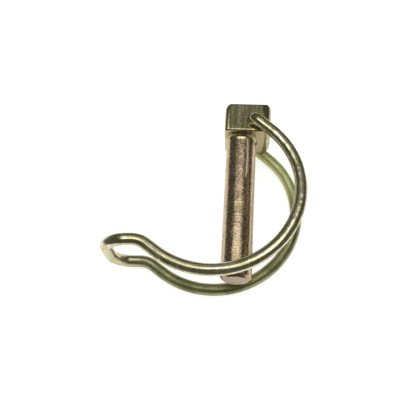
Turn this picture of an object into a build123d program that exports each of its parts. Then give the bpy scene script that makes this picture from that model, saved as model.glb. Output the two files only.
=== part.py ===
"""Double-wire lynch pin: a forged headed pin and the round-wire bail that snaps round the shaft.

Frame, in millimetres: the pin lies on its side, as it comes to rest on a table.  The origin is on
the shank's axis at the underside of the head.  -Y runs along the shank to its tip, +X is the side
the bail arches over, and +Z is up, along the hinge axis of the bail.
"""

import os

from build123d import *

# Shank
SHANK_DIAMETER = 10.0
SHANK_LENGTH = 50.0
TIP_CHAMFER = 1.0

# Head: a forged block that stands further out on the bail's side, where the hinge hole is
HEAD_WIDTH = 15.6
HEAD_BACK_MARGIN = 0.8
EYE_WALL_FRONT = 4.05
EYE_WALL_BELOW = 2.15
EYE_WALL_ABOVE = 4.65
UNDER_EDGE_RADIUS = 1.0
ROOT_RADIUS = 0.8
TOP_EDGE_RADIUS = 1.0
TOP_BACK_RADIUS = 3.4
TOP_FRONT_RADIUS = 2.0
UNDER_FRONT_RADIUS = 3.0
UNDER_BACK_RADIUS = 1.0
PLAN_FRONT_RADIUS = 3.5
PLAN_BACK_RADIUS = 1.8

# Wire and its hinge in the head
WIRE_DIAMETER = 4.0
PIVOT_FORWARD = 3.8
HINGE_CLEARANCE = 0.05
LEG_CLEARANCE = 0.5
END_GAP = 3.6

# Side outline of the bail, from the hinge round under the tip and out to the finger loop
LEG_SLOPE = 40.8
LEG_RUN = 8.0
ARCH_PAST_TIP = 0.2
ARCH_TURN = 174.5
RAMP_RUN = 4.0
KNEE_RADIUS = 7.5
KNEE_TURN = 38.0
LIP_RUN = 1.5
LOOP_RADIUS = 7.5

# Sizes that follow from those above
shank_radius = SHANK_DIAMETER / 2
wire_radius = WIRE_DIAMETER / 2
hinge_hole_radius = wire_radius + HINGE_CLEARANCE
pivot = Vector(PIVOT_FORWARD, EYE_WALL_BELOW + hinge_hole_radius, 0)
head_back = shank_radius + HEAD_BACK_MARGIN
head_front = pivot.X + hinge_hole_radius + EYE_WALL_FRONT
head_length = head_back + head_front
head_height = pivot.Y + hinge_hole_radius + EYE_WALL_ABOVE
head_middle = (head_front - head_back) / 2
leg_height = HEAD_WIDTH / 2 + LEG_CLEARANCE + wire_radius
# Each end starts to bend where it leaves the head, so the bend never enters the hole.
elbow_radius = leg_height - HEAD_WIDTH / 2

# The arch is as large as it must be to pass the shank's tip, whatever the shank's length.
leg_heading = Vector(1, 0, 0).rotate(Axis.Z, -LEG_SLOPE)
arch_drop = SHANK_LENGTH + ARCH_PAST_TIP + pivot.Y + LEG_RUN * leg_heading.Y
arch_radius = arch_drop / (1 + leg_heading.X)

os.makedirs("parts", exist_ok=True)

# The pin: one forging, its head rounded by three outlines that it is cut to in turn.
with BuildPart() as forged_pin:
    with BuildSketch(Plane.XY) as side_outline:
        with Locations((head_middle, head_height / 2)):
            Rectangle(head_length, head_height)
        for corner, radius in (
            ((-head_back, head_height), TOP_BACK_RADIUS),
            ((head_front, head_height), TOP_FRONT_RADIUS),
            ((head_front, 0), UNDER_FRONT_RADIUS),
            ((-head_back, 0), UNDER_BACK_RADIUS),
        ):
            fillet(side_outline.vertices().sort_by_distance(corner)[0], radius)
    extrude(amount=HEAD_WIDTH / 2, both=True)

    with BuildSketch(Plane.YZ) as end_outline:
        with Locations((head_height / 2, 0)):
            Rectangle(head_height, HEAD_WIDTH)
        fillet(end_outline.vertices().group_by(Axis.X)[0], UNDER_EDGE_RADIUS)
        fillet(end_outline.vertices().group_by(Axis.X)[-1], TOP_EDGE_RADIUS)
    extrude(amount=head_length, both=True, mode=Mode.INTERSECT)

    with BuildSketch(Plane.XZ) as plan_outline:
        with Locations((head_middle, 0)):
            Rectangle(head_length, HEAD_WIDTH)
        fillet(plan_outline.vertices().group_by(Axis.X)[0], PLAN_BACK_RADIUS)
        fillet(plan_outline.vertices().group_by(Axis.X)[-1], PLAN_FRONT_RADIUS)
    extrude(amount=head_height, both=True, mode=Mode.INTERSECT)

    # The shank is drawn down from the middle of the head, with a small fillet at its root.
    with BuildSketch(Plane.XZ.offset(-head_height / 2)):
        Circle(shank_radius)
    extrude(amount=head_height / 2 + SHANK_LENGTH)
    chamfer(forged_pin.edges().group_by(Axis.Y)[0], TIP_CHAMFER)
    root = forged_pin.edges().filter_by(GeomType.CIRCLE).sort_by_distance((0, 0, 0))[0]
    fillet(root, ROOT_RADIUS)

    with Locations(pivot):
        Hole(hinge_hole_radius)
forged_pin.part.label = "forged_pin"
export_step(forged_pin.part, "parts/forged_pin.step")

# The bail: one length of round wire, swept along half its route and the mirror image of that half.
with BuildPart() as wire_bail:
    with BuildLine() as route:
        stub = Line(pivot + (0, 0, END_GAP / 2), pivot + (0, 0, HEAD_WIDTH / 2))
        elbow_end = pivot + (0, 0, leg_height) + leg_heading * elbow_radius
        elbow = TangentArc(stub @ 1, elbow_end, tangent=stub % 1)
        leg = Line(elbow @ 1, elbow @ 1 + leg_heading * (LEG_RUN - elbow_radius))
        arch = JernArc(leg @ 1, leg % 1, arch_radius, -ARCH_TURN)
        ramp = Line(arch @ 1, arch @ 1 + (arch % 1) * RAMP_RUN)
        knee = JernArc(ramp @ 1, ramp % 1, KNEE_RADIUS, KNEE_TURN)
        lip = Line(knee @ 1, knee @ 1 + (knee % 1) * LIP_RUN)
        loop_end = lip @ 1 + (lip % 1) * LOOP_RADIUS - (0, 0, LOOP_RADIUS)
        loop = TangentArc(lip @ 1, loop_end, tangent=lip % 1)
        Line(loop @ 1, loop @ 1 - (0, 0, leg_height - LOOP_RADIUS))
        mirror(about=Plane.XY)
    with BuildSketch(Plane(origin=stub @ 0, z_dir=stub % 0)):
        Circle(wire_radius)
    sweep(path=route.wires()[0])
wire_bail.part.label = "wire_bail"
export_step(wire_bail.part, "parts/wire_bail.step")
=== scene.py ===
# %% [markdown]
# # A double-wire lynch pin
#
# A lynch pin stops a shaft or a drawbar from sliding out of its bracket. This kind has two parts: a
# forged pin with a block for a head, and one length of spring wire, the bail, which turns in a hole
# through the head and snaps round the shaft under the pin's tip. Both are zinc plated and then
# dipped in yellow chromate, which leaves a thin gold, green and pink film over bright metal.
#
# The imported CAD model gives every size and place. It is loaded once, and its box is kept.

# %% The imported frame
import bpy
import numpy as np
from mathutils import Matrix, Vector


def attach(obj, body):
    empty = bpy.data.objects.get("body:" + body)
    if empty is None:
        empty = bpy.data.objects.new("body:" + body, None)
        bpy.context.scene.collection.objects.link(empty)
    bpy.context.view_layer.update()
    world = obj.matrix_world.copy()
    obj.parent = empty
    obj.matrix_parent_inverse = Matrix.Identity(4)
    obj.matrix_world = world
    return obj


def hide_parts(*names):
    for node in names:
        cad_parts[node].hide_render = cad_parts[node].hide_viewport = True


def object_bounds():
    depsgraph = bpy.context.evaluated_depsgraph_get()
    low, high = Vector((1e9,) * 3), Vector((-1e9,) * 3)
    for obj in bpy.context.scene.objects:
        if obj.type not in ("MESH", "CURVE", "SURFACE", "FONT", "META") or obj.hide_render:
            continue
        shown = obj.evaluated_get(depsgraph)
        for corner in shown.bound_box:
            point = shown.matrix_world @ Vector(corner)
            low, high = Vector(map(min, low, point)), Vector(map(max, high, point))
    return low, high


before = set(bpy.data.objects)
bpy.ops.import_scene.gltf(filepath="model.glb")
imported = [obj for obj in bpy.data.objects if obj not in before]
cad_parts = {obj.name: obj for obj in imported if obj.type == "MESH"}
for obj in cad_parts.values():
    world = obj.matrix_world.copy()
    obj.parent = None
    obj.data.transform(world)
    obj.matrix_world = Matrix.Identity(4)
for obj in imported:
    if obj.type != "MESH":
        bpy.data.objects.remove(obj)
cad_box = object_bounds()
low, high = (Vector(corner) for corner in cad_box)
print("CAD box in mm:", [[round(1000 * x, 2) for x in corner] for corner in cad_box])

# %% [markdown]
# ## The line of the wire
#
# The bail is one piece of 4 mm wire, bent in a jig. A bending jig has two settings for each stretch:
# how far the wire turns in the plane of the bail, and how far it turns up or down out of that plane.
# The route is written down in the same way, as a list of stretches, and each has one of the two
# turns or none. Half of the route is enough, because the other half is its mirror image.
#
# A curve object with a round bevel could do this too. Arrays are used here because every point of
# the surface is then known, and its place on the straight wire, before it was bent, can be kept.

# %% The bail's stretches
MM = 0.001
wire_radius = 1.99   # a hair inside the CAD wire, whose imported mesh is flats
pivot = np.array([3.8, 4.2, 0.0])
end_gap, head_width, leg_height = 3.6, 15.6, 10.3
elbow_radius, loop_radius, knee_radius = 2.5, 7.5, 7.5
leg_run, ramp_run, lip_run = 8.0, 4.0, 1.5
leg_slope, arch_turn, knee_turn = np.radians([40.8, 174.5, 38.0])
shank_length, past_tip = 50.0, 0.2
# The arch passes just under the pin's tip, which sets its radius.
arch_drop = shank_length + past_tip + pivot[1] - leg_run * np.sin(leg_slope)
arch_radius = arch_drop / (1 + np.cos(leg_slope))

# Each stretch: its length, its turn in the plane, its turn out of the plane, and its steps.
quarter = np.pi / 2
stretches = np.array([
    ((head_width - end_gap) / 2, 0, 0, 6),               # end, in the hole
    (elbow_radius * quarter, 0, -quarter, 24),           # elbow, beside the head
    (leg_run - elbow_radius, 0, 0, 8),                   # leg
    (arch_radius * arch_turn, -arch_turn, 0, 140),       # arch
    (ramp_run, 0, 0, 6),                                 # ramp
    (knee_radius * knee_turn, knee_turn, 0, 24),         # knee
    (lip_run, 0, 0, 3),                                  # lip
    (loop_radius * quarter, 0, -quarter, 36),            # half of the finger loop
    (leg_height - loop_radius, 0, 0, 5),                 # half of its bridge
])
wire_length = 2 * stretches[:, 0].sum()
print("arch radius", round(arch_radius, 2), "mm; wire", round(wire_length, 1), "mm long")

# %% [markdown]
# ## From stretches to points
#
# Along each stretch the wire turns at a steady rate, so two running totals give its direction
# everywhere. A short chord of a circular arc points the way that the arc does half way along it,
# and is shorter than the arc by sin(x)/x, where x is half its turn. The sum of those chords is
# therefore the exact line and not an approximation.

# %% Direction and place along the wire
def direction(heading, pitch):
    """Unit vectors: cos(pitch) times (cos heading, sin heading) in the plane, and sin(pitch) up."""
    level = np.cos(pitch)
    return np.stack([level * np.cos(heading), level * np.sin(heading), np.sin(pitch)], -1)

steps = stretches[:, 3].astype(int)
ds = np.repeat(stretches[:, 0] / steps, steps)
turn = np.repeat(stretches[:, 1] / steps, steps)
rise = np.repeat(stretches[:, 2] / steps, steps)
# The second half runs the same way backwards, with the pitch carried on past straight down.
ds = np.concatenate([ds, ds[::-1]])
turn = np.concatenate([turn, -turn[::-1]])
rise = np.concatenate([rise, rise[::-1]])
heading = np.concatenate([[0], np.cumsum(turn)]) - leg_slope
pitch = np.concatenate([[0], np.cumsum(rise)]) + quarter
along = np.concatenate([[0], np.cumsum(ds)])

half_turn = np.abs(turn + rise) / 2
chord = ds * np.sinc(half_turn / np.pi)
middle = direction((heading[1:] + heading[:-1]) / 2, (pitch[1:] + pitch[:-1]) / 2)
start = pivot + [0, 0, end_gap / 2]
line = start + np.concatenate([[[0, 0, 0]], np.cumsum(chord[:, None] * middle, 0)])
print("the wire's ends are", round(float(np.linalg.norm(line[-1] - line[0])), 3), "mm apart")

# %% [markdown]
# ## The wire's surface
#
# A ring of points is carried along the line. Two directions span each ring: one stays in the plane
# of the bail, and the other is square to it and to the wire. Chosen this way the rings never twist,
# so the drawing lines of the wire run straight along it. The ends are cropped flat, and they face
# each other inside the head.
#
# Each point also keeps its place on the straight wire, before bending, as the attribute
# "straight_wire". A pattern that reads it has no seam and bends with the wire.

# %% A tube along a line
def tube(line, heading, pitch, radius, around=48):
    """Points = line + radius * (cos a * side + sin a * up). Side is level and square to the heading, and up
    is the wire's direction crossed with side. A point is added at the middle of each end."""
    a = np.linspace(0, 2 * np.pi, around, endpoint=False)
    along_wire = direction(heading, pitch)
    side = np.stack([-np.sin(heading), np.cos(heading), 0 * heading], -1)
    up = np.cross(along_wire, side)
    spokes = np.cos(a)[:, None] * side[:, None] + np.sin(a)[:, None] * up[:, None]
    rings = line[:, None] + radius * spokes
    return np.concatenate([rings.reshape(-1, 3), line[:1], line[-1:]]), a

def tube_faces(n, around):
    """Squares between neighbouring rings, and a fan of triangles over each end, all facing outwards."""
    i, j = np.meshgrid(np.arange(n - 1), np.arange(around), indexing="ij")
    k = (j + 1) % around
    walls = np.stack([i * around + j, i * around + k, (i + 1) * around + k, (i + 1) * around + j], -1)
    j = np.arange(around)
    k = (j + 1) % around
    first = np.stack([np.full(around, n * around), k, j], -1)
    last = np.stack([np.full(around, n * around + 1), (n - 1) * around + j, (n - 1) * around + k], -1)
    return walls.reshape(-1, 4).tolist(), first.tolist() + last.tolist()

# %% The bail's mesh
points, a = tube(line, heading, pitch, wire_radius)
walls, ends = tube_faces(len(line), len(a))
mesh = bpy.data.meshes.new("bail_wire")
mesh.from_pydata((points * MM).tolist(), [], walls + ends)
mesh.polygons.foreach_set("use_smooth", [True] * len(walls) + [False] * len(ends))

# Place on the straight wire = (radius * cos a, radius * sin a, length along it).
straight = np.broadcast_arrays(wire_radius * np.cos(a), wire_radius * np.sin(a), along[:, None])
straight = np.stack(straight, -1).reshape(-1, 3)
straight = np.concatenate([straight, [[0, 0, 0], [0, 0, along[-1]]]])
kept = mesh.attributes.new("straight_wire", "FLOAT_VECTOR", "POINT")
kept.data.foreach_set("vector", (straight * MM).ravel())
mesh.update()
bail_wire = bpy.data.objects.new("bail_wire", mesh)
bpy.context.scene.collection.objects.link(bail_wire)
print("bail wire:", len(points), "points,", len(walls), "squares")

# %% [markdown]
# ## The forged pin
#
# The pin's shape is already right in the CAD: a round shank, and a block of a head with rounded
# edges and a hole. The CAD mesh is loose triangles, so a copy has its doubles merged. Edges that
# turn by less than 35 degrees are shaded smooth, and the crisp rim of the hole and of the tip stay.

# %% A merged copy of the pin
import bmesh

def merged_copy(node, name):
    """A copy of a CAD node whose loose triangles are joined at their shared corners."""
    made = node.data.copy()
    made.name = name
    bm = bmesh.new()
    bm.from_mesh(made)
    bmesh.ops.remove_doubles(bm, verts=bm.verts, dist=1e-6)
    bmesh.ops.dissolve_degenerate(bm, edges=bm.edges, dist=1e-7)
    bm.to_mesh(made)
    bm.free()
    if made.attributes.get("custom_normal"):
        made.attributes.remove(made.attributes["custom_normal"])
    made.shade_smooth()
    made.set_sharp_from_angle(angle=np.radians(35))
    obj = bpy.data.objects.new(name, made)
    bpy.context.scene.collection.objects.link(obj)
    return obj

forged = merged_copy(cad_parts["forged_pin"], "pin_forging")
print("pin forging:", len(forged.data.vertices), "points,", len(forged.data.polygons), "faces")

# %% [markdown]
# ## Colours and nodes
#
# Paint and plating colours are written the way a designer picks them, as sRGB hex values. A shader
# works in linear light, so one function turns them. A second small function adds any node, with its
# settings and its links, which keeps each material down to the few lines that matter.

# %% Helpers for the finishes
def linear(hexa):
    """sRGB to linear: value/12.92 for the darkest, and ((value + 0.055)/1.055) to the power 2.4 above."""
    v = np.array([int(hexa[i:i + 2], 16) / 255 for i in (1, 3, 5)])
    return (*np.where(v <= 0.04045, v / 12.92, ((v + 0.055) / 1.055) ** 2.4), 1.0)

def add(tree, kind, settings=None, **links):
    """Adds one node. Settings are its attributes, its input sockets' values, or a colour ramp's "stops",
    each a place and a hex colour. Links name a socket and the output that goes into it. A socket that
    shares its name with another goes by its number: "7" in the settings, and i7 in the links."""
    node = tree.nodes.new(kind)
    for name, value in (settings or {}).items():
        if name == "stops":
            for _ in value[2:]:
                node.color_ramp.elements.new(1.0)
            for element, (place, colour) in zip(node.color_ramp.elements, value):
                element.position, element.color = place, linear(colour)
        elif hasattr(node, name):
            setattr(node, name, value)
        else:
            node.inputs[int(name) if name.isdigit() else name].default_value = value
    for name, source in links.items():
        socket = node.inputs[int(name[1:]) if name[1:].isdigit() else name.replace("_", " ")]
        tree.links.new(source, socket)
    return node

def new_material(name):
    """An empty node material, its tree, and the Principled shader that is joined to its output."""
    material = bpy.data.materials.new(name)
    material.use_nodes = True
    tree = material.node_tree
    tree.nodes.clear()
    shader = add(tree, "ShaderNodeBsdfPrincipled")
    add(tree, "ShaderNodeOutputMaterial", Surface=shader.outputs[0])
    return material, tree, shader

# %% [markdown]
# ## Yellow chromate on drawn wire
#
# Zinc yellow chromate, also called yellow passivate: drawn spring steel wire, bright zinc plated in
# a barrel, then dipped. The zinc is almost a mirror. The film is thin and uneven, so its hue drifts
# over a few millimetres from pale gold to lime green and a little pink. Drawing through a die leaves
# fine lines along the wire, about 0.1 mm apart on the real wire and drawn 0.6 mm apart here so that
# they show. Tumbling in the barrel leaves shallow dents 3 mm across and rubbed flecks of bare zinc.

# %% Plated wire: the film
plated_wire, tree, shader = new_material("yellow_chromate_on_drawn_wire")
shader.inputs["Metallic"].default_value = 1.0
place = add(tree, "ShaderNodeAttribute", {"attribute_name": "straight_wire"}).outputs["Vector"]

hue_size = 6 * MM
hue = add(tree, "ShaderNodeTexNoise", {"Scale": 1 / hue_size, "Detail": 4.0, "Roughness": 0.6},
          Vector=place).outputs["Fac"]
thin_film = [(0.32, "#A6A56A"), (0.43, "#C3BE93"), (0.53, "#D2CAAC"), (0.62, "#C9BFA2"), (0.72, "#B6B57C")]
film = add(tree, "ShaderNodeValToRGB", {"stops": thin_film}, Fac=hue).outputs[0]

# %% [markdown]
# The half of the wire that hung lower in the bath has a thicker film, which is olive and dull, and
# lime green towards its end. The other half has one such stretch, before the finger loop. Both are
# places along the straight wire: a colour ramp says how thick the film is, from black for thin to
# white for thick, and the hue's noise makes its edge patchy.

# %% Plated wire: where the film is thick
length_along = add(tree, "ShaderNodeSeparateXYZ", Vector=place).outputs[2]
part_way = add(tree, "ShaderNodeMath", {"operation": "MULTIPLY", "1": float(1 / (wire_length * MM))},
               i0=length_along).outputs[0]
thickness = [(0.33, "#000000"), (0.37, "#BCBCBC"), (0.41, "#BCBCBC"), (0.44, "#606060"),
             (0.52, "#606060"), (0.60, "#FFFFFF")]
thick = add(tree, "ShaderNodeValToRGB", {"stops": thickness}, Fac=part_way).outputs[0]
patchy = add(tree, "ShaderNodeMapRange", {"From Min": 0.35, "From Max": 0.6, "To Min": 0.5, "To Max": 1.0},
             Value=hue).outputs[0]
thick = add(tree, "ShaderNodeMath", {"operation": "MULTIPLY"}, i0=thick, i1=patchy).outputs[0]
film = add(tree, "ShaderNodeMix", {"data_type": "RGBA", "7": linear("#8D9062")},
           i0=thick, i6=film).outputs[2]

lime_from, lime_to = 208 * MM, 226 * MM
limed = add(tree, "ShaderNodeMapRange",
            {"interpolation_type": "SMOOTHSTEP", "From Min": lime_from, "From Max": lime_to},
            Value=length_along).outputs[0]
film = add(tree, "ShaderNodeMix", {"data_type": "RGBA", "7": linear("#D2D79C")},
           i0=limed, i6=film).outputs[2]

# %% Plated wire: rubbed flecks of bare zinc, only where the film is thin
fleck_size = 1.6 * MM
flecks = add(tree, "ShaderNodeTexNoise", {"Scale": 1 / fleck_size, "Detail": 2.0},
             Vector=place).outputs["Fac"]
rubbed = add(tree, "ShaderNodeMapRange", {"From Min": 0.60, "From Max": 0.68}, Value=flecks).outputs[0]
rubbed = add(tree, "ShaderNodeMath", {"operation": "SUBTRACT", "use_clamp": True},
             i0=rubbed, i1=thick).outputs[0]
colour = add(tree, "ShaderNodeMix", {"data_type": "RGBA", "7": linear("#E8E4D6")}, i0=rubbed, i6=film)
tree.links.new(colour.outputs[2], shader.inputs["Base Color"])

# %% Plated wire: drawing lines and dents
line_gap, dent_size, relief = 0.6 * MM, 3 * MM, 0.12 * MM
# With the place along the wire scaled by 0.03, the noise is drawn out into lines.
stretched = add(tree, "ShaderNodeMapping", {"3": (1.0, 1.0, 0.03)}, Vector=place).outputs[0]
lines = add(tree, "ShaderNodeTexNoise", {"Scale": 1 / line_gap, "Detail": 2.0},
            Vector=stretched).outputs["Fac"]
dents = add(tree, "ShaderNodeTexNoise", {"Scale": 1 / dent_size, "Detail": 2.0, "Roughness": 0.55},
            Vector=place).outputs["Fac"]
bump = add(tree, "ShaderNodeBump", {"Strength": 1.0, "Distance": relief}, Height=lines)
bump = add(tree, "ShaderNodeBump", {"Strength": 1.0, "Distance": relief},
           Height=dents, Normal=bump.outputs[0])
tree.links.new(bump.outputs[0], shader.inputs["Normal"])

rough = add(tree, "ShaderNodeMapRange", {"From Min": 0.3, "From Max": 0.7, "To Min": 0.15, "To Max": 0.26},
            Value=lines).outputs[0]
duller_when_thick = 0.3
rough = add(tree, "ShaderNodeMath", {"operation": "MULTIPLY_ADD", "1": duller_when_thick},
            i0=thick, i2=rough).outputs[0]
tree.links.new(rough, shader.inputs["Roughness"])
bail_wire.data.materials.append(plated_wire)
print("plated wire:", len(tree.nodes), "nodes")

# %% [markdown]
# ## Yellow chromate on a forging
#
# The pin is drop forged and plated with the wire. A die leaves the steel grainy, with pits of about
# 0.3 mm that are drawn 0.7 mm wide here so that they show, and a thicker, browner film gathers in
# them. A belt has dressed the head's two flat sides, which leaves streaks along the pin, about 0.3 mm
# apart and drawn 0.9 mm apart. The film is olive on the head, and pink and tan along the shank.

# %% Plated forging: the film
plated_forging, tree, shader = new_material("yellow_chromate_on_forged_steel")
shader.inputs["Metallic"].default_value = 1.0
place = add(tree, "ShaderNodeTexCoord").outputs["Object"]
_, down, level = add(tree, "ShaderNodeSeparateXYZ", Vector=place).outputs

hue_size = 5 * MM
hue = add(tree, "ShaderNodeTexNoise", {"Scale": 1 / hue_size, "Detail": 4.0, "Roughness": 0.65},
          Vector=place).outputs["Fac"]
shank_film = [(0.32, "#AE9A76"), (0.43, "#C6B18A"), (0.52, "#D2BFA1"), (0.60, "#CDAB97"), (0.70, "#C8BD8E")]
head_film = [(0.32, "#B4AE78"), (0.45, "#C4BD8E"), (0.56, "#CBC39E"), (0.70, "#B8B988")]
on_shank = add(tree, "ShaderNodeValToRGB", {"stops": shank_film}, Fac=hue).outputs[0]
on_head = add(tree, "ShaderNodeValToRGB", {"stops": head_film}, Fac=hue).outputs[0]
is_head = add(tree, "ShaderNodeMapRange", {"From Min": -3 * MM, "From Max": 0.0}, Value=down).outputs[0]
film = add(tree, "ShaderNodeMix", {"data_type": "RGBA"}, i0=is_head, i6=on_shank, i7=on_head).outputs[2]

# %% Plated forging: pits, where the film is thick and brown
pit_size, pit_depth = 0.7 * MM, 0.05 * MM
grain = add(tree, "ShaderNodeTexNoise", {"Scale": 1 / pit_size, "Detail": 3.0, "Roughness": 0.65},
            Vector=place).outputs["Fac"]
pits = add(tree, "ShaderNodeMapRange", {"From Min": 0.40, "From Max": 0.60, "To Min": 0.6, "To Max": 0.0},
           Value=grain).outputs[0]
film = add(tree, "ShaderNodeMix", {"data_type": "RGBA", "7": linear("#8A745C")},
           i0=pits, i6=film).outputs[2]
rough = add(tree, "ShaderNodeMapRange", {"From Min": 0.3, "From Max": 0.7, "To Min": 0.18, "To Max": 0.30},
            Value=grain).outputs[0]
grain_here = add(tree, "ShaderNodeMapRange", {"To Min": 1.0, "To Max": 0.5}, Value=is_head).outputs[0]
bump = add(tree, "ShaderNodeBump", {"Distance": pit_depth}, Height=grain, Strength=grain_here)

# %% Plated forging: streaks of the belt, and faint ones along the shank
streak_gap, streak_depth = 0.9 * MM, 0.18 * MM
long_way = add(tree, "ShaderNodeMapping", {"3": (1.0, 0.08, 1.0)}, Vector=place).outputs[0]
streaks = add(tree, "ShaderNodeTexNoise", {"Scale": 1 / streak_gap, "Detail": 2.0},
              Vector=long_way).outputs["Fac"]
# Only the head's two flat sides are dressed, and no other surface lies as far out as they do.
side = head_width / 2 * MM
far_out = add(tree, "ShaderNodeMath", {"operation": "ABSOLUTE"}, i0=level).outputs[0]
dressed = add(tree, "ShaderNodeMapRange", {"From Min": side - 0.8 * MM, "From Max": side - 0.2 * MM},
              Value=far_out).outputs[0]
scratched = add(tree, "ShaderNodeMapRange",
                {"From Min": 0.42, "From Max": 0.60, "To Min": 0.0, "To Max": 0.75},
                Value=streaks).outputs[0]
scratched = add(tree, "ShaderNodeMath", {"operation": "MULTIPLY"}, i0=scratched, i1=dressed).outputs[0]
film = add(tree, "ShaderNodeMix", {"data_type": "RGBA", "7": linear("#83805A")},
           i0=scratched, i6=film).outputs[2]
on_shank_only = add(tree, "ShaderNodeMapRange", {"To Min": 0.3, "To Max": 0.0}, Value=is_head).outputs[0]
streak_here = add(tree, "ShaderNodeMath", {"operation": "MAXIMUM"}, i0=on_shank_only, i1=dressed).outputs[0]
bump = add(tree, "ShaderNodeBump", {"Distance": streak_depth},
           Height=streaks, Strength=streak_here, Normal=bump.outputs[0])

# %% Plated forging: waves of the die, and the swell at the root
wave_size, wave_depth, swell_depth = 5 * MM, 0.12 * MM, 0.18 * MM
waves = add(tree, "ShaderNodeTexNoise", {"Scale": 1 / wave_size, "Detail": 1.0}, Vector=place).outputs["Fac"]
bump = add(tree, "ShaderNodeBump", {"Strength": 1.0, "Distance": wave_depth},
           Height=waves, Normal=bump.outputs[0])
# The dies round the shank into the head, so it swells by 0.18 mm over about its last 2 mm.
swell = add(tree, "ShaderNodeMapRange", {"From Min": -1.7 * MM, "From Max": -0.4 * MM}, Value=down).outputs[0]
swell = add(tree, "ShaderNodeMath", {"operation": "POWER", "1": 2.0}, i0=swell).outputs[0]
bump = add(tree, "ShaderNodeBump", {"Strength": 1.0, "Distance": swell_depth},
           Height=swell, Normal=bump.outputs[0])

# %% [markdown]
# The two dies part along a plane through the shank's axis. The flash that squeezes out there is
# sheared off, which leaves a low, rough, bare ridge on the third of the shank that is nearest the
# head. Its near-white colour is partly a painted highlight along the ridge. A dot product with the
# plane's square direction gives the distance from the plane.

# %% Plated forging: the parting ridge, with a painted highlight
tilt = np.radians(27.0)   # of the parting plane, from upright
square_to_plane = (float(np.cos(tilt)), 0.0, float(-np.sin(tilt)))
parting = add(tree, "ShaderNodeVectorMath", {"operation": "DOT_PRODUCT", "1": square_to_plane},
              i0=place).outputs["Value"]
parting = add(tree, "ShaderNodeMath", {"operation": "ABSOLUTE"}, i0=parting).outputs[0]
ridge_reach, ridge_height = 0.5 * MM, 0.35 * MM
ridge = add(tree, "ShaderNodeMapRange",
            {"interpolation_type": "SMOOTHSTEP", "From Max": ridge_reach, "To Min": 1.0, "To Max": 0.0},
            Value=parting).outputs[0]
near_head = add(tree, "ShaderNodeMapRange", {"From Min": -17 * MM, "From Max": -11 * MM},
                Value=down).outputs[0]
off_head = add(tree, "ShaderNodeMapRange",
               {"From Min": -2 * MM, "From Max": -1 * MM, "To Min": 1.0, "To Max": 0.0},
               Value=down).outputs[0]
ridge_here = add(tree, "ShaderNodeMath", {"operation": "MULTIPLY"}, i0=near_head, i1=off_head).outputs[0]
bump = add(tree, "ShaderNodeBump", {"Distance": ridge_height},
           Height=ridge, Strength=ridge_here, Normal=bump.outputs[0])
# partly a painted highlight: the bare ridge is coloured near white so that it shows as a light line
bare_and_painted_highlight = add(tree, "ShaderNodeMath", {"operation": "MULTIPLY"}, i0=ridge, i1=ridge_here).outputs[0]
film = add(tree, "ShaderNodeMix", {"data_type": "RGBA", "7": linear("#F0E8DA")},
           i0=bare_and_painted_highlight, i6=film).outputs[2]
rough = add(tree, "ShaderNodeMath", {"operation": "MULTIPLY_ADD", "1": 0.45}, i0=bare_and_painted_highlight, i2=rough).outputs[0]

# %% Plated forging: painted shade on the cropped tip, and the shader
# Painted shade: the cropped end is coloured a darker brown that fades out 0.8 mm up the shank, standing in
# for the shadowed floor and lower wire that the end face mirrors.
tip_y = -shank_length * MM
tip_painted_shade = add(tree, "ShaderNodeMapRange",
          {"From Min": tip_y + 0.2 * MM, "From Max": tip_y + 0.8 * MM, "To Min": 0.6, "To Max": 0.0},
          Value=down).outputs[0]
# painted shade: the tip's colour is darkened towards brown
film = add(tree, "ShaderNodeMix", {"data_type": "RGBA", "7": linear("#8F7B68")},
           i0=tip_painted_shade, i6=film).outputs[2]
tree.links.new(film, shader.inputs["Base Color"])
tree.links.new(rough, shader.inputs["Roughness"])
tree.links.new(bump.outputs[0], shader.inputs["Normal"])
forged.data.materials.clear()
forged.data.materials.append(plated_forging)
print("plated forging:", len(tree.nodes), "nodes")

# %% [markdown]
# ## Which part moves with which
#
# The pin and the bail are two bodies joined by one hinge, the wire's ends in the head's hole. Each
# visible piece rides on its body and stands for its CAD node.

# %% Riding on the bodies
for piece, body, node, slot in ((forged, "pin", "forged_pin", "plated_forging"),
                                (bail_wire, "bail", "wire_bail", "plated_wire")):
    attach(piece, body)
    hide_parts(node)
    print(piece.name, "rides on", body)

# %% [markdown]
# ## Floor
#
# Small metal parts are shown on a plain white sheet. Most of the sheet's brightness is its own glow,
# which the camera sees and the mirror-like metal sees in part, and which puts no light on the part.
# The rest is the light that falls on the sheet, so the part still throws a soft shadow.
#
# The metal mirrors only as much white as a card round the part would give it. Past about 100 mm it
# mirrors the dim bench that the card lies on, which is what draws the dark lines beside the bright
# ones on the wire and the shank.

# %% The white sheet
centre = (low + high) / 2
half, below = 3.0, 0.0001   # metres: half its width, and its gap under the part
corners = [(centre.x + sx * half, centre.y + sy * half, low.z - below)
           for sx, sy in ((-1, -1), (1, -1), (1, 1), (-1, 1))]
mesh = bpy.data.meshes.new("white_sheet")
mesh.from_pydata(corners, [], [(0, 1, 2, 3)])
white_sheet = bpy.data.objects.new("white_sheet", mesh)
bpy.context.scene.collection.objects.link(white_sheet)
print("white sheet", 2 * half, "m wide, at", round(1000 * (low.z - below), 2), "mm")

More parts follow.
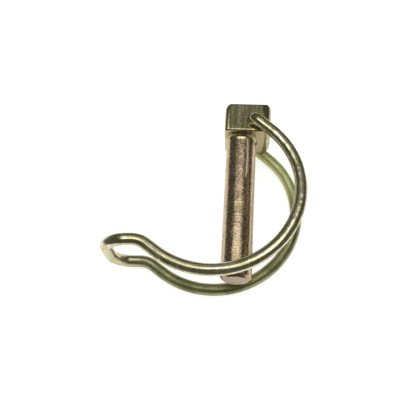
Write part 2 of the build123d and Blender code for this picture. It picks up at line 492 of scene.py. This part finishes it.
# %% The sheet's glow, and its card
paper = bpy.data.materials.new("matt_white_card")
paper.use_nodes = True
tree = paper.node_tree
tree.nodes.clear()
rays = add(tree, "ShaderNodeLightPath").outputs
mirrored = add(tree, "ShaderNodeMath", {"operation": "MAXIMUM"},
               i0=rays["Is Glossy Ray"], i1=rays["Is Transmission Ray"]).outputs[0]
camera_glow, mirror_glow = 0.80, 0.22
glow_seen = add(tree, "ShaderNodeMath", {"operation": "MULTIPLY", "1": camera_glow},
                i0=rays["Is Camera Ray"]).outputs[0]
glow_here = add(tree, "ShaderNodeMath", {"operation": "MULTIPLY_ADD", "1": mirror_glow},
                i0=mirrored, i2=glow_seen).outputs[0]
glow = add(tree, "ShaderNodeEmission", {"Color": linear("#FFFFFF")}, Strength=glow_here)
card = add(tree, "ShaderNodeMix",
           {"data_type": "RGBA", "6": linear("#F2F1EC"), "7": linear("#9A9A98")},
           i0=rays["Is Camera Ray"]).outputs[2]
matt = add(tree, "ShaderNodeBsdfDiffuse", Color=card)
both = add(tree, "ShaderNodeAddShader", i0=glow.outputs[0], i1=matt.outputs[0])

# Past its edge metal sees the dim bench: 0 inside a circle round the part, rising to 1 just past it.
card_edge, card_fade = 100 * MM, 15 * MM
place = add(tree, "ShaderNodeTexCoord").outputs["Object"]
from_centre = add(tree, "ShaderNodeMapping", {"1": (-centre.x, -centre.y, 0)}, Vector=place).outputs[0]
reach = add(tree, "ShaderNodeVectorMath", {"operation": "LENGTH"}, i0=from_centre).outputs["Value"]
off_card = add(tree, "ShaderNodeMapRange",
               {"From Min": card_edge - card_fade, "From Max": card_edge + card_fade},
               Value=reach).outputs[0]
off_card = add(tree, "ShaderNodeMath", {"operation": "MULTIPLY"}, i0=off_card, i1=mirrored).outputs[0]
bench = add(tree, "ShaderNodeEmission", {"Color": linear("#5A5954")})
sheet_and_bench = add(tree, "ShaderNodeMixShader", i0=off_card, i1=both.outputs[0], i2=bench.outputs[0])
add(tree, "ShaderNodeOutputMaterial", Surface=sheet_and_bench.outputs[0])
white_sheet.data.materials.append(paper)
print("card and bench:", len(tree.nodes), "nodes")

# %% [markdown]
# ## Light
#
# Bright metal shows what stands round it, so the room matters more than the lamps. The room is dim,
# and that gives the wire its dark sides. The camera sees it white, like the sheet, and what is not a
# mirror is lit by it evenly. One broad soft lamp hangs over the part, and its edge behind the part is
# what makes the shank bright towards the tip and dull towards the head. A faint second one, further
# back, is the lamp's spill on the wall, and only the flat of the head mirrors it.

# %% The room
world = bpy.data.worlds.new("dim_room")
bpy.context.scene.world = world
world.use_nodes = True
tree = world.node_tree
tree.nodes.clear()
rays = add(tree, "ShaderNodeLightPath").outputs
ray = add(tree, "ShaderNodeTexCoord").outputs["Generated"]
climb = add(tree, "ShaderNodeSeparateXYZ", Vector=ray).outputs[2]
dim_walls = [(0.0, "#5A5954"), (0.5, "#545650"), (1.0, "#4A4C46")]
room = add(tree, "ShaderNodeValToRGB", {"stops": dim_walls}, Fac=climb).outputs[0]
mirrored = add(tree, "ShaderNodeMath", {"operation": "MAXIMUM"},
               i0=rays["Is Glossy Ray"], i1=rays["Is Transmission Ray"]).outputs[0]
shown = add(tree, "ShaderNodeMix", {"data_type": "RGBA", "6": linear("#E1E1DE")},
            i0=mirrored, i7=room).outputs[2]
shown = add(tree, "ShaderNodeMix", {"data_type": "RGBA", "7": linear("#FFFFFF")},
            i0=rays["Is Camera Ray"], i6=shown).outputs[2]
sky = add(tree, "ShaderNodeBackground", {"Strength": 1.0}, Color=shown)
add(tree, "ShaderNodeOutputWorld", Surface=sky.outputs[0])
print("room:", len(tree.nodes), "nodes")

# %% The lamps
def soft_lamp(name, lean_back, lean_right, spread, radiance, distance=0.8):
    """An oblong lamp, seen lean_back degrees behind the zenith and lean_right degrees beside it. Its
    width and depth are 2 * distance * tan(spread / 2), with its width along X. Its power is
    radiance * pi * area, so that it looks that bright in a mirror."""
    lamp = bpy.data.lights.new(name, "AREA")
    lamp.shape = "RECTANGLE"
    lamp.size, lamp.size_y = (2 * distance * np.tan(np.radians(s / 2)) for s in spread)
    lamp.energy = radiance * np.pi * lamp.size * lamp.size_y
    obj = bpy.data.objects.new(name, lamp)
    bpy.context.scene.collection.objects.link(obj)
    way = Vector((np.tan(np.radians(lean_right)), np.tan(np.radians(lean_back)), 1)).normalized()
    across = Vector((0, 1, 0)).cross(way).normalized()
    turned = Matrix((across, way.cross(across), way)).transposed()
    obj.matrix_world = Matrix.Translation(centre + distance * way) @ turned.to_4x4()
    print(name, round(lamp.energy, 2), "W")

soft_lamp("softbox", lean_back=3.5, lean_right=-1, spread=(58, 33), radiance=2.2)
soft_lamp("softbox_spill", lean_back=38, lean_right=2, spread=(56, 15), radiance=0.30)

# %% [markdown]
# ## Camera
#
# The part is seen from above and in front, from about 0.2 m, with a slightly long lens. The
# camera's three directions are worked out from two angles and a small roll.

# %% The camera
azimuth, elevation, roll = np.radians([10.19, 64.93, -7.21])
level = np.cos(elevation)
back = Vector((level * np.sin(azimuth), level * -np.cos(azimuth), np.sin(elevation)))
right = Vector((np.cos(azimuth), np.sin(azimuth), 0))
up = back.cross(right)
right, up = right * np.cos(roll) + up * np.sin(roll), up * np.cos(roll) - right * np.sin(roll)
aim, distance = Vector((-12.94 * MM, -22.6 * MM, 0)), 0.2121

lens = bpy.data.cameras.new("camera")
lens.lens, lens.sensor_width, lens.clip_start = 57.33, 36.0, 0.01
camera = bpy.data.objects.new("camera", lens)
bpy.context.scene.collection.objects.link(camera)
turned = Matrix((right, up, back)).transposed()
camera.matrix_world = Matrix.Translation(aim + distance * back) @ turned.to_4x4()
bpy.context.scene.camera = camera
bpy.context.scene.view_settings.view_transform = "Standard"
print("camera at", [round(1000 * x, 1) for x in camera.matrix_world.translation], "mm")

# %% The end
bpy.context.view_layer.update()
